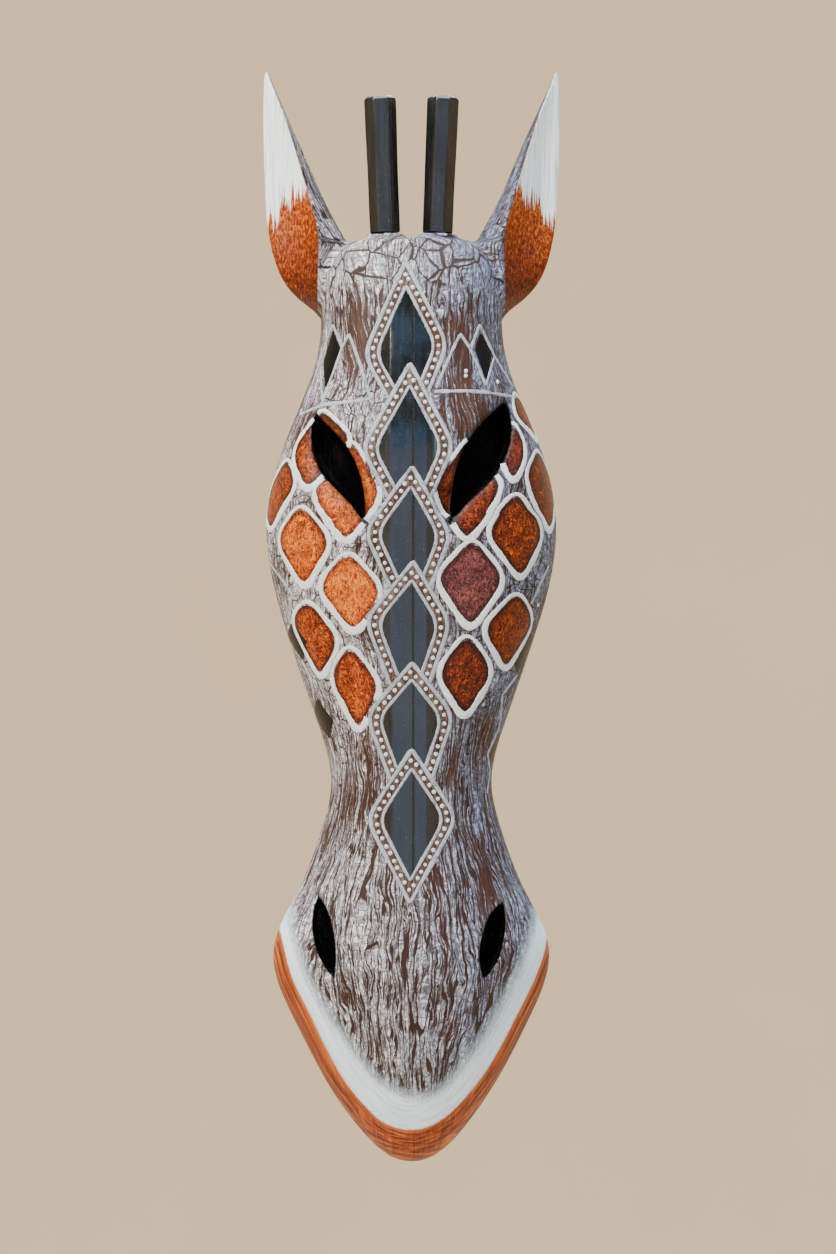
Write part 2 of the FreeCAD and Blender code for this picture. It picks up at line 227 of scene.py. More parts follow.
def grown(corners, distance):
    """Outline moved outwards by a distance, with its corners kept sharp."""
    corners = as_array(corners)
    edges = np.roll(corners, -1, axis=0) - corners
    normals = np.stack([-edges[:, 1], edges[:, 0]], axis=1)
    normals /= np.linalg.norm(normals, axis=1, keepdims=True)
    area = np.sum(corners[:, 0] * np.roll(corners[:, 1], -1) - np.roll(corners[:, 0], -1) * corners[:, 1])
    if area > 0:
        normals = -normals
    before = np.roll(normals, 1, axis=0)
    half = before + normals
    half /= np.linalg.norm(half, axis=1, keepdims=True)
    reach = distance / np.maximum(np.sum(half * normals, axis=1), 0.35)
    return corners + half * reach[:, None]


def smooth_path(points, steps=5, closed=True):
    """Catmull-Rom curve through the points."""
    points = as_array(points)
    count = len(points)
    path = []
    spans = count if closed else count - 1
    for i in range(spans):
        if closed:
            p = [points[(i + k) % count] for k in (-1, 0, 1, 2)]
        else:
            p = [points[min(max(i + k, 0), count - 1)] for k in (-1, 0, 1, 2)]
        for t in np.arange(steps) / steps:
            path.append(0.5 * (
                2 * p[1] + (p[2] - p[0]) * t
                + (2 * p[0] - 5 * p[1] + 4 * p[2] - p[3]) * t ** 2
                + (3 * p[1] - p[0] - 3 * p[2] + p[3]) * t ** 3))
    if not closed:
        path.append(points[-1])
    return np.array(path)


def signed_distance(points, outline):
    """Distance of each point from a closed outline, negative inside."""
    nearest = np.full(len(points), np.inf)
    inside = np.zeros(len(points), bool)
    for a, b in zip(outline, np.roll(outline, -1, axis=0)):
        edge = b - a
        from_a = points - a
        share = np.clip(from_a @ edge / max(edge @ edge, 1e-12), 0, 1)
        nearest = np.minimum(nearest, np.sum((from_a - share[:, None] * edge) ** 2, axis=1))
        crosses = (a[1] > points[:, 1]) != (b[1] > points[:, 1])
        if abs(edge[1]) > 1e-12:
            x_cross = a[0] + (points[:, 1] - a[1]) / edge[1] * edge[0]
            inside ^= crosses & (points[:, 0] < x_cross)
    return np.sqrt(nearest) * np.where(inside, -1.0, 1.0)


# ---------------------------------------------------------------- the unrolled skin

def square_on(points):
    """(x, height) of points in metres, as measured."""
    return np.stack([points[:, 0], points[:, 2] - CHIN_Z], axis=1) / MM


def drawn_scale(y):
    """How much larger skin at y is drawn than skin in the plane of the ears."""
    return DRAWN_FROM / (DRAWN_FROM + y - DRAWN_PLANE_Y)


def as_drawn(points):
    """(x, height) of points in metres, as they are drawn."""
    scale = drawn_scale(points[:, 1])[:, None]
    eye_level = np.array([0.0, DRAWN_EYE_LEVEL])
    return (square_on(points) - eye_level) * scale + eye_level


def leaf_outline(leaf):
    """Closed outline of an eye or a nostril."""
    (upper, lower), nose_side, outer_side = leaf
    down = smooth_path([upper] + nose_side + [lower], closed=False)
    back_up = smooth_path([upper] + outer_side + [lower], closed=False)[::-1]
    return np.vstack([down, back_up[1:-1]])


class Skin:
    """The outside of the head by angle and height, with the distance round it from the centre.

    It spans the recesses, so that drawings run straight over them.
    """

    AXIS_Y = -0.022
    REACH = 0.3
    LOW = 1.0
    HIGH = 422.0
    ROWS = 282
    WIDEST = math.radians(118)
    COLUMNS = 317
    RECESS_MARGIN = 1.6

    def __init__(self, tree, recesses):
        self.heights = np.linspace(self.LOW, self.HIGH, self.ROWS)
        self.angles = np.linspace(-self.WIDEST, self.WIDEST, self.COLUMNS)
        self.points = np.zeros((self.ROWS, self.COLUMNS, 3))
        for row, height in enumerate(self.heights):
            middle = Vector((0, self.AXIS_Y, CHIN_Z + height * MM))
            for column, angle in enumerate(self.angles):
                out = Vector((math.sin(angle), -math.cos(angle), 0))
                hit = tree.ray_cast(middle + out * self.REACH, -out)[0]
                self.points[row, column] = hit if hit else middle
        self._span(recesses)
        steps = np.linalg.norm(np.diff(self.points, axis=1), axis=2) / MM
        centre = self.COLUMNS // 2
        along = np.concatenate([np.zeros((self.ROWS, 1)), np.cumsum(steps, axis=1)], axis=1)
        self.arc = along - along[:, centre:centre + 1]

    def _span(self, recesses):
        """Bridges each recess along every row."""
        columns = np.arange(self.COLUMNS)
        for row in range(self.ROWS):
            front = square_on(self.points[row])
            sunk = np.zeros(self.COLUMNS, bool)
            for outline in recesses:
                sunk |= signed_distance(front, outline) < self.RECESS_MARGIN
            sunk &= np.abs(self.angles) < math.radians(88)
            if sunk.any():
                for axis in range(3):
                    line = self.points[row, :, axis]
                    line[sunk] = np.interp(columns[sunk], columns[~sunk], line[~sunk])

    def _rows(self, heights):
        """Rows below each height and the share of the way to the next."""
        place = np.clip((heights - self.LOW) / (self.HIGH - self.LOW), 0, 0.99999) * (self.ROWS - 1)
        row = place.astype(int)
        return row, (place - row)

    def unroll(self, points):
        """(u, height) of points on the skin."""
        heights = (points[:, 2] - CHIN_Z) / MM
        row, share = self._rows(heights)
        angle = np.arctan2(points[:, 0], self.AXIS_Y - points[:, 1])
        place = (np.clip(angle, -self.WIDEST, self.WIDEST) + self.WIDEST) / (2 * self.WIDEST)
        place = place * (self.COLUMNS - 1)
        column = np.minimum(place.astype(int), self.COLUMNS - 2)
        side = place - column
        low = self.arc[row, column] * (1 - side) + self.arc[row, column + 1] * side
        high = self.arc[row + 1, column] * (1 - side) + self.arc[row + 1, column + 1] * side
        return np.stack([low * (1 - share) + high * share, heights], axis=1)

    def from_front(self, drawing):
        """(u, height) of points drawn as seen from the front."""
        front = np.abs(self.angles) < math.radians(88)
        unrolled = []
        for x, height in as_array(drawing):
            scale = 1.0
            for _ in range(3):
                level = DRAWN_EYE_LEVEL + (height - DRAWN_EYE_LEVEL) / scale
                (row,), (share,) = self._rows(np.array([level]))
                line = (self.points[row] * (1 - share) + self.points[row + 1] * share)[front]
                arc = (self.arc[row] * (1 - share) + self.arc[row + 1] * share)[front]
                across = np.maximum.accumulate(line[:, 0]) / MM
                scale = drawn_scale(np.interp(x / scale, across, line[:, 1]))
            unrolled.append((np.interp(x / scale, across, arc), level))
        return np.array(unrolled)

    def place(self, unrolled):
        """Points on the skin at (u, height)."""
        placed = np.zeros((len(unrolled), 3))
        rows, shares = self._rows(unrolled[:, 1])
        for i, (row, share) in enumerate(zip(rows, shares)):
            line = self.points[row] * (1 - share) + self.points[row + 1] * share
            arc = self.arc[row] * (1 - share) + self.arc[row + 1] * share
            for axis in range(3):
                placed[i, axis] = np.interp(unrolled[i, 0], arc, line[:, axis])
        return placed

    def normals(self, unrolled):
        """Outward normals at (u, height)."""
        step = 0.8
        right = self.place(unrolled + (step, 0)) - self.place(unrolled - (step, 0))
        up = self.place(unrolled + (0, step)) - self.place(unrolled - (0, step))
        normal = np.cross(right, up)
        return normal / np.linalg.norm(normal, axis=1, keepdims=True)


# ---------------------------------------------------------------- meshes

def coordinates(mesh):
    co = np.zeros(len(mesh.vertices) * 3, np.float32)
    mesh.vertices.foreach_get("co", co)
    return co.reshape(-1, 3).astype(float)


def vertex_normals(mesh):
    normals = np.zeros(len(mesh.vertices) * 3, np.float32)
    mesh.vertex_normals.foreach_get("vector", normals)
    return normals.reshape(-1, 3).astype(float)


def set_coordinates(mesh, points):
    mesh.vertices.foreach_set("co", points.astype(np.float32).ravel())
    mesh.update()


def add_field(mesh, name, values):
    """One number per vertex that the materials read."""
    field = mesh.attributes.new(name, "FLOAT", "POINT")
    field.data.foreach_set("value", np.asarray(values, np.float32))


def new_object(name, data):
    """Object with this data, in the scene."""
    made = bpy.data.objects.new(name, data)
    bpy.context.scene.collection.objects.link(made)
    return made


def finish_mesh(mesh, material):
    """Smooth shading all over and one material."""
    mesh.polygons.foreach_set("use_smooth", [True] * len(mesh.polygons))
    mesh.materials.append(material)


def new_mesh_object(name, vertices, faces, material):
    mesh = bpy.data.meshes.new(name)
    mesh.from_pydata([tuple(v) for v in vertices], [], faces)
    mesh.validate()
    finish_mesh(mesh, material)
    return new_object(name, mesh)


def tube_faces(first, count, sides, closed=False):
    """Quads between rings of vertices that follow one another from the first, joined up if closed."""
    faces = []
    for ring in range(count if closed else count - 1):
        here = first + ring * sides
        after = first + (ring + 1) % count * sides
        for k in range(sides):
            n = (k + 1) % sides
            faces.append((here + k, here + n, after + n, after + k))
    return faces


def apply_modifiers(obj):
    """Gives an object the mesh that its modifiers make."""
    evaluated = obj.evaluated_get(bpy.context.evaluated_depsgraph_get())
    mesh = bpy.data.meshes.new_from_object(evaluated)
    obj.modifiers.clear()
    obj.data = mesh


def remeshed_copy(node, name, voxel):
    """A node's shape as one even mesh."""
    piece = new_object(name, NODES[node].data.copy())
    remesh = piece.modifiers.new("remesh", "REMESH")
    remesh.mode = "VOXEL"
    remesh.voxel_size = voxel
    smooth = piece.modifiers.new("smooth", "SMOOTH")
    smooth.factor = 0.5
    smooth.iterations = 2
    apply_modifiers(piece)
    piece.data.materials.clear()
    return piece


def smoothstep(values, low, high):
    share = np.clip((values - low) / (high - low), 0, 1)
    return share * share * (3 - 2 * share)


def plateau(values, start, full, last, end):
    """0 up to the start and past the end, 1 from full to last."""
    return smoothstep(values, start, full) * smoothstep(-values, -end, -last)


# A bead of paint in section: share of the way across, and height as a share of its lift.
BEAD_PROFILE = ((0.0, -0.6), (0.07, 0.7), (0.28, 1.0), (0.72, 1.0), (0.93, 0.7), (1.0, -0.6))
BEAD_GRAIN = 0.10          # how uneven its top is
BEAD_JITTER = 0.06         # how ragged its edges are

# A dot of paint: rings by share of its radius and of its lift.
DOT_RINGS = ((1.0, -0.3), (0.93, 0.45), (0.65, 0.85))
DOT_SIDES = 10


def gentle_noise(count):
    """Normal noise without its far ends."""
    return np.clip(RNG.standard_normal(count), -2, 2)


class Ribbons:
    """Raised strips and dots of paint on the skin, gathered into one mesh."""

    def __init__(self, skin):
        self.skin = skin
        self.vertices = []
        self.faces = []

    def strip(self, left, right, lift, closed):
        """Rounded bead between two lines of (u, height) with the same number of points."""
        rings = []
        for share, height in BEAD_PROFILE:
            line = left * (1 - share) + right * share
            normals = self.skin.normals(line)
            grain = 1 + BEAD_GRAIN * gentle_noise(len(line))
            raised = lift * height * (grain if height > 0 else 1.0)
            rings.append(self.skin.place(line) + normals * np.asarray(raised).reshape(-1, 1) * MM)
        self._tube(np.stack(rings, axis=1), closed)

    def _tube(self, rings, closed):
        count, sides = rings.shape[:2]
        first = len(self.vertices)
        self.vertices.extend(rings.reshape(-1, 3))
        self.faces.extend(tube_faces(first, count, sides, closed))
        if not closed:
            last = first + (count - 1) * sides
            self.faces.append(tuple(first + k for k in reversed(range(sides))))
            self.faces.append(tuple(last + k for k in range(sides)))

    def line(self, path, width, lift, closed, wobble=0.12):
        """Bead of one width along a path."""
        if len(path) < 3:
            return
        if closed:
            along = np.roll(path, -1, axis=0) - np.roll(path, 1, axis=0)
        else:
            along = np.gradient(path, axis=0)
        across = np.stack([-along[:, 1], along[:, 0]], axis=1)
        across /= np.maximum(np.linalg.norm(across, axis=1, keepdims=True), 1e-9)
        jitter = wobble * wandering(len(path)) + BEAD_JITTER * gentle_noise(len(path))
        half = np.broadcast_to(width, len(path)) / 2 * (1 + jitter)
        self.strip(path - across * half[:, None], path + across * half[:, None], lift, closed)

    def dots(self, centres, radius, lift):
        """Low domes of paint."""
        sides = DOT_SIDES
        normals = self.skin.normals(centres)
        for centre, normal in zip(centres, normals):
            size = radius * RNG.uniform(0.88, 1.1)
            turn = RNG.uniform(0, 1)
            angles = (np.arange(sides) + turn) * 2 * math.pi / sides
            circle = np.stack([np.cos(angles), np.sin(angles)], axis=1)
            circle *= 1 + 0.05 * RNG.standard_normal((sides, 1))
            first = len(self.vertices)
            for reach, height in DOT_RINGS:
                on_skin = self.skin.place(centre + circle * size * reach)
                self.vertices.extend(on_skin + normal * lift * height * MM)
            self.vertices.append(self.skin.place(centre[None])[0] + normal * lift * MM)
            top = first + len(DOT_RINGS) * sides
            rim = top - sides
            self.faces.extend(tube_faces(first, len(DOT_RINGS), sides))
            self.faces.extend((rim + k, rim + (k + 1) % sides, top) for k in range(sides))
            self.faces.append(tuple(first + k for k in reversed(range(sides))))

    def piece(self, name, material):
        made = new_mesh_object(name, self.vertices, self.faces, material)
        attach(made, "head")
        tidy = bmesh.new()
        tidy.from_mesh(made.data)
        bmesh.ops.recalc_face_normals(tidy, faces=tidy.faces)
        tidy.to_mesh(made.data)
        tidy.free()


def wandering(count):
    """Slow random wander about 0, the same at both ends."""
    waves = RNG.standard_normal((4, 2))
    place = np.linspace(0, 2 * math.pi, count, endpoint=False)
    total = np.zeros(count)
    for k, (a, b) in enumerate(waves):
        total += a * np.cos((k * 2 + 1) * place) + b * np.sin((k * 2 + 1) * place)
    return total / 3


def resampled(path, spacing, closed):
    """Points at even spacing along a path."""
    if closed:
        path = np.vstack([path, path[:1]])
    steps = np.linalg.norm(np.diff(path, axis=0), axis=1)
    along = np.concatenate([[0], np.cumsum(steps)])
    count = max(int(round(along[-1] / spacing)), 2)
    places = np.linspace(0, along[-1], count + (0 if closed else 1), endpoint=not closed)
    return np.stack([np.interp(places, along, path[:, axis]) for axis in range(2)], axis=1)


def open_runs(path, hidden):
    """Stretches of a closed path that aren't hidden."""
    if not hidden.any():
        return [(path, True)]
    start = int(np.argmax(hidden))
    path = np.roll(path, -start, axis=0)
    hidden = np.roll(hidden, -start)
    runs = []
    run = []
    for point, covered in zip(path, hidden):
        if covered:
            if len(run) > 3:
                runs.append((np.array(run), False))
            run = []
        else:
            run.append(point)
    if len(run) > 3:
        runs.append((np.array(run), False))
    return runs


# ---------------------------------------------------------------- material graphs

class Graph:
    """Builds one node material."""

    def __init__(self, name):
        self.material = bpy.data.materials.new(name)
        self.material.use_nodes = True
        self.tree = self.material.node_tree
        self.shader = self.tree.nodes["Principled BSDF"]

    def node(self, kind, inputs=None, **settings):
        """New node with its settings made and its inputs linked or set."""
        made = self.tree.nodes.new(kind)
        for key, value in settings.items():
            setattr(made, key, value)
        for socket, value in (inputs or {}).items():
            self.plug(made.inputs[socket], value)
        return made

    def plug(self, socket, value):
        if isinstance(value, bpy.types.NodeSocket):
            self.tree.links.new(value, socket)
        else:
            socket.default_value = value

    def where(self, stretch=(1, 1, 1)):
        """Object coordinates, stretched."""
        coord = self.node("ShaderNodeTexCoord").outputs["Object"]
        return self.node("ShaderNodeMapping", {"Vector": coord, "Scale": stretch}).outputs["Vector"]

    def pair(self, across, tall):
        """A flat position from two numbers."""
        return self.node("ShaderNodeCombineXYZ", {"X": across, "Y": tall}).outputs["Vector"]

    def stretched(self, flat, across, tall):
        """A flat position scaled along each axis."""
        inputs = {"Vector": flat, "Scale": (across, tall, 1)}
        return self.node("ShaderNodeMapping", inputs).outputs["Vector"]

    def field(self, name):
        return self.node("ShaderNodeAttribute", attribute_name=name).outputs["Fac"]

    def noise(self, vector, scale, detail=4.0, roughness=0.55, distortion=0.0):
        inputs = {"Vector": vector, "Scale": scale, "Detail": detail}
        inputs.update({"Roughness": roughness, "Distortion": distortion})
        return self.node("ShaderNodeTexNoise", inputs).outputs["Fac"]

    def flat_noise(self, flat, across, tall, detail, roughness=0.55, distortion=0.0):
        """Noise over a flat position, scaled along each axis."""
        return self.noise(self.stretched(flat, across, tall), 1.0, detail, roughness, distortion)

    def cracks(self, flat, across, tall):
        """Distance to the nearest crack between cells, scaled along each axis."""
        inputs = {"Vector": self.stretched(flat, across, tall), "Scale": 1.0, "Randomness": 1.0}
        return self.node("ShaderNodeTexVoronoi", inputs, feature="DISTANCE_TO_EDGE").outputs["Distance"]

    def sum(self, first, *others):
        for other in others:
            first = self.math("ADD", first, other)
        return first

    def times(self, a, b):
        return self.math("MULTIPLY", a, b)

    def less(self, a, b):
        return self.math("SUBTRACT", a, b)

    def swing(self, value, reach):
        """How far a value is from a half, times reach."""
        return self.times(self.sum(value, -0.5), reach)

    def math(self, operation, a, b=0.0, clamp=False):
        return self.node("ShaderNodeMath", {0: a, 1: b}, operation=operation, use_clamp=clamp).outputs[0]

    def band(self, value, low, high, at_low=0.0, at_high=1.0):
        """Smooth step of a value from at_low to at_high."""
        inputs = {"Value": value, "From Min": low, "From Max": high, "To Min": at_low, "To Max": at_high}
        return self.node("ShaderNodeMapRange", inputs, interpolation_type="SMOOTHSTEP").outputs["Result"]

    def ramp(self, value, stops):
        made = self.node("ShaderNodeValToRGB", {"Fac": value})
        elements = made.color_ramp.elements
        while len(elements) < len(stops):
            elements.new(0.5)
        for element, (place, colour) in zip(elements, stops):
            element.position = place
            element.color = (*colour, 1)
        return made.outputs["Color"]

    def mix(self, share, a, b, blend="MIX"):
        a, b = ((*value, 1) if isinstance(value, tuple) else value for value in (a, b))
        inputs = {"Factor": share, "A": a, "B": b}
        return self.node("ShaderNodeMix", inputs, data_type="RGBA", blend_type=blend).outputs["Result"]

    def mix_value(self, share, a, b):
        inputs = {"Factor": share, "A": a, "B": b}
        return self.node("ShaderNodeMix", inputs, data_type="FLOAT").outputs["Result"]

    def bump(self, height, distance, normal=None):
        inputs = {"Distance": distance, "Height": height}
        if normal is not None:
            inputs["Normal"] = normal
        return self.node("ShaderNodeBump", inputs).outputs["Normal"]

    def finish(self, colour, roughness, normal=None):
        """The material, once its shader's inputs are linked or set."""
        inputs = {"Base Color": colour, "Roughness": roughness}
        if normal is not None:
            inputs["Normal"] = normal
        for socket, value in inputs.items():
            self.plug(self.shader.inputs[socket], value)
        return self.material


class Surface:
    """Colour, roughness and relief, covered coat by coat."""

    def __init__(self, g, colour, roughness, relief):
        self.g = g
        self.colour = colour
        self.roughness = roughness
        self.relief = relief

    def cover(self, share, colour=None, roughness=None, relief=None):
        """Lays a coat where share is 1; what isn't given stays."""
        if colour is not None:
            self.colour = self.g.mix(share, self.colour, colour)
        if roughness is not None:
            self.roughness = self.g.mix_value(share, self.roughness, roughness)
        if relief is not None:
            self.relief = self.g.mix_value(share, self.relief, relief)


def srgb(red, green, blue):
    """Linear colour of an sRGB colour given from 0 to 255."""
    linear = []
    for value in (red, green, blue):
        share = value / 255
        linear.append(share / 12.92 if share <= 0.04045 else ((share + 0.055) / 1.055) ** 2.4)
    return tuple(linear)


# ---------------------------------------------------------------- materials

# Lacquered flats down the nose: where their edges run, in metres, and how steeply they fall away.
FACET_LEFT = -0.0095
FACET_RIDGE = 0.0009
FACET_RIGHT = 0.0068
LEFT_TILT = 0.40
RIGHT_TILT = 0.28
RIDGE_TILT = 0.035
RIDGE_GROOVE = 0.0005


def wood_grain(g):
    """Place on the unrolled skin in millimetres, with the grain's waves in it."""
    across = g.field("across")
    tall = g.field("tall")
    flat = g.pair(across, tall)
    wander = g.flat_noise(flat, 0.05, 0.02, 2.0)
    drift = g.flat_noise(flat, 0.25, 0.09, 2.0)
    return g.pair(g.sum(across, g.swing(wander, 14.0), g.swing(drift, 3.2)), tall)


def wood_cracks(g, flat, patches, curls, granular, shells):
    """Share of crack: long veins on the muzzle, short cells above, shells on the crown."""
    veins = g.flat_noise(flat, 0.17, 0.014, 2.0, 0.5, 0.4)
    splits = g.flat_noise(flat, 0.26, 0.020, 2.0, 0.5, 0.8)
    vein_cracks = g.math("ABSOLUTE", g.sum(veins, -0.5))
    split_cracks = g.math("ABSOLUTE", g.sum(splits, -0.56))
    cracks = g.times(g.math("MINIMUM", vein_cracks, split_cracks), 1.35)
    cracks = g.mix_value(granular, cracks, g.cracks(flat, 0.24, 0.12))
    cracks = g.mix_value(shells, cracks, g.times(g.cracks(flat, 0.11, 0.10), 0.6))
    wide = g.band(patches, 0.35, 0.7, 0.020, 0.048)
    crack = g.math("SUBTRACT", 1.0, g.math("DIVIDE", cracks, wide), clamp=True)
    fine = g.band(g.cracks(flat, 0.60, 0.22), 0.0, 0.075, 1.0, 0.0)
    fine = g.times(fine, g.band(curls, 0.40, 0.58, 0.15, 0.95))
    return g.math("MAXIMUM", g.band(crack, 0.1, 0.6), g.times(fine, 0.8))


def weathered_wood(g):
    """Grey whitewash over brown stain, cracked along the grain.

    Returns the colour, the share of wash, the stain, the relief and the place in the grain.
    """
    flat = wood_grain(g)
    fibres = g.flat_noise(flat, 1.15, 0.034, 4.0, 0.6)
    hairs = g.flat_noise(flat, 2.8, 0.07, 3.0, 0.6)
    patches = g.flat_noise(flat, 0.07, 0.028, 3.0, 0.55)
    curls = g.flat_noise(flat, 0.5, 0.42, 4.0, 0.7)
    shells = g.field("shells")
    granular = g.field("granular")
    crack = wood_cracks(g, flat, patches, curls, granular, shells)

    curled = g.band(g.math("MAXIMUM", granular, shells), 0.0, 1.0, 0.08, 0.24)
    amount = g.sum(
        fibres, g.times(hairs, 0.36), g.swing(curls, curled), g.swing(patches, 0.65),
        g.times(g.field("worn"), -0.15))
    wash = g.band(amount, 0.555, 0.70)
    wash = g.times(wash, g.math("SUBTRACT", 1.0, crack, clamp=True))

    thick = g.sum(g.times(hairs, 0.5), g.times(curls, 0.5))
    # Painted light and shade: the wash is tinted warm on the left and darker and bluer towards the right,
    # as if lit from the left.
    painted_shade_right = g.band(g.field("across"), -18.0, 34.0)
    wash_colour = g.ramp(thick, [
        (0.38, srgb(70, 66, 76)), (0.49, srgb(146, 147, 160)), (0.58, srgb(226, 232, 246))])
    shade = g.mix(painted_shade_right, srgb(255, 248, 240), srgb(182, 192, 210))
    wash_colour = g.mix(1.0, wash_colour, shade, "MULTIPLY")
    stain = g.sum(g.times(fibres, 0.6), g.times(hairs, 0.4))
    wood_colour = g.ramp(stain, [
        (0.34, srgb(30, 15, 10)), (0.48, srgb(64, 37, 26)), (0.64, srgb(106, 72, 54))])
    colour = g.mix(wash, wood_colour, wash_colour)
    colour = g.mix(g.times(crack, 0.9), colour, srgb(44, 26, 20))
    relief = g.sum(g.times(wash, 0.6), g.times(hairs, 0.35))
    return colour, wash, stain, relief, flat


def spot_paint(g, flat):
    """Flecked brown lacquer, darker round the edge: colour and flecks."""
    flecks = g.flat_noise(flat, 1.5, 0.6, 4.0, 0.75, 1.2)
    blots = g.flat_noise(flat, 0.22, 0.16, 3.0, 0.6)
    # Each spot's own tone with painted shade in it: spots on the right-hand side are darker, and the
    # darkest are mixed towards plum.
    own_tone_and_shade = g.field("spot_tone_and_shade")
    rim = g.band(g.sum(g.field("spot"), g.swing(blots, 5.0)), -2.8, -0.3)
    tone = g.sum(g.swing(flecks, 1.9), g.swing(blots, 0.45), 0.62, g.swing(own_tone_and_shade, 0.46))
    tone = g.less(tone, g.times(rim, 0.20))
    colour = g.ramp(tone, [
        (0.34, srgb(34, 10, 4)), (0.50, srgb(84, 25, 7)), (0.62, srgb(136, 50, 10)),
        (0.76, srgb(184, 84, 16)), (0.94, srgb(228, 140, 54))])
    plum = g.ramp(tone, [(0.30, srgb(52, 22, 26)), (0.60, srgb(140, 84, 86))])
    return g.mix(g.band(own_tone_and_shade, 0.08, 0.12, 0.65, 0.0), colour, plum), flecks


def ear_paint(g):
    """Brown brushed up into white: colour and bristle marks."""
    flat = g.pair(g.field("ear_x"), g.field("tall"))
    strokes = g.flat_noise(flat, 0.55, 0.012, 2.0, 0.5)
    bristles = g.flat_noise(flat, 1.6, 0.03, 4.0, 0.65)
    shine = g.flat_noise(flat, 1.2, 0.45, 5.0, 0.75, 0.5)
    tall = g.field("ear_edge")
    edge = g.sum(tall, g.sum(g.swing(strokes, 26.0), g.swing(bristles, 30.0)))
    depth = g.sum(g.times(shine, 1.7), g.sum(g.times(g.band(tall, -50.0, 2.0), 0.22), -0.36))
    brown = g.ramp(depth, [
        (0.36, srgb(38, 12, 4)), (0.54, srgb(90, 28, 2)), (0.70, srgb(136, 50, 2)),
        (0.88, srgb(200, 110, 26))])
    white = g.ramp(bristles, [
        (0.34, srgb(176, 190, 200)), (0.46, srgb(220, 233, 240)), (0.58, srgb(240, 251, 255))])
    return g.mix(g.band(edge, -0.8, 0.8), brown, white), bristles


def lip_paint(g, colour, wash, stain):
    """White band fading into the wash, then a brown rim with darker lines along it.

    Returns the colour, the share of white and the share of brown.
    """
    inside = g.field("lip_grey")
    outside = g.field("lip_white")
    along = g.flat_noise(g.pair(outside, g.field("across")), 1.0, 0.06, 4.0, 0.7)
    spray = g.noise(g.where(), 900, 3.0, 0.6)
    fade = g.sum(inside, g.swing(spray, 5.0))
    white = g.ramp(along, [
        (0.36, srgb(180, 208, 226)), (0.50, srgb(208, 234, 250)), (0.64, srgb(226, 249, 255))])
    colour = g.mix(g.times(g.band(fade, -4.5, 4.5), 0.97), colour, white)
    brown = g.ramp(g.sum(g.times(along, 0.65), g.times(stain, 0.4)), [
        (0.40, srgb(40, 14, 8)), (0.49, srgb(96, 38, 15)), (0.56, srgb(150, 64, 22)),
        (0.66, srgb(208, 116, 52))])
    glow = g.band(outside, 0.3, 2.6, 1.0, 0.0)
    brown = g.mix(g.times(glow, 0.6), brown, srgb(190, 98, 34))
    is_brown = g.band(g.sum(outside, g.swing(spray, 0.8)), -0.3, 0.8)
    return g.mix(is_brown, colour, brown), g.band(fade, -1.5, 2.5), is_brown


def raw_back(g):
    """Stained wood of the back and the hollow: colour and grain."""
    grain = g.noise(g.where((1, 1, 0.035)), 900, 5.0, 0.6)
    broad = g.noise(g.where((1, 1, 0.12)), 60, 3.0, 0.5)
    tone = g.sum(g.times(grain, 0.65), g.times(broad, 0.4))
    return g.ramp(tone, [
        (0.36, srgb(62, 40, 28)), (0.50, srgb(104, 72, 50)), (0.62, srgb(140, 104, 74)),
        (0.74, srgb(172, 136, 100))]), grain


def painted_wood():
    """The head: washed wood with flecked spots, painted ears and lips, black recesses, raw back."""
    g = Graph("painted_wood")
    colour, wash, stain, relief, flat = weathered_wood(g)
    wood = Surface(g, colour, g.mix_value(wash, 0.50, 0.78), relief)

    bare = g.ramp(stain, [(0.36, srgb(40, 22, 16)), (0.60, srgb(88, 56, 42))])
    under_lozenges = g.mix(g.times(wash, 0.35), bare, srgb(150, 140, 136))
    wood.cover(g.band(g.field("band"), -0.2, 0.2, 1.0, 0.0), under_lozenges)

    spot_colour, flecks = spot_paint(g, flat)
    in_spot = g.band(g.field("spot"), -0.15, 0.15, 1.0, 0.0)
    wood.cover(in_spot, spot_colour, 0.34, g.times(flecks, 0.25))

    ear_colour, bristles = ear_paint(g)
    wood.cover(g.band(g.field("ear"), -0.25, 0.25), ear_colour, 0.5, g.times(bristles, 0.3))

    wood.colour, whitened, is_brown = lip_paint(g, wood.colour, wash, stain)
    wood.cover(whitened, roughness=0.6, relief=g.times(stain, 0.15))
    wood.cover(is_brown, roughness=0.45)

    raw, grain = raw_back(g)
    wood.cover(g.field("back"), raw, 0.8, grain)

    shade = g.band(g.field("eye_shade"), 0.0, 1.0)
    wood.cover(g.times(shade, 0.85), srgb(26, 18, 16))
    dust = g.band(g.noise(g.where(), 1900, 2.0, 0.5), 0.68, 0.76)
    black = g.mix(g.times(dust, 0.2), (0.0008, 0.0008, 0.001), (0.05, 0.05, 0.05))
    wood.cover(g.band(g.field("black"), -0.12, 0.12, 1.0, 0.0), black, 0.4, 0.3)
    g.shader.inputs["Specular IOR Level"].default_value = 0.2
    return g.finish(wood.colour, wood.roughness, g.bump(wood.relief, 0.0007))


def sand_paint(name, low, high):
    """Thick paint with sand in it."""
    g = Graph(name)
    sand = g.noise(g.where(), 2300, 3.0, 0.75)
    dirt = g.noise(g.where(), 330, 4.0, 0.65)
    tone = g.sum(g.times(sand, 0.65), g.times(dirt, 0.45))
    colour = g.ramp(tone, [(0.40, low), (0.56, high)])
    return g.finish(colour, 0.85, g.bump(tone, 0.0014))


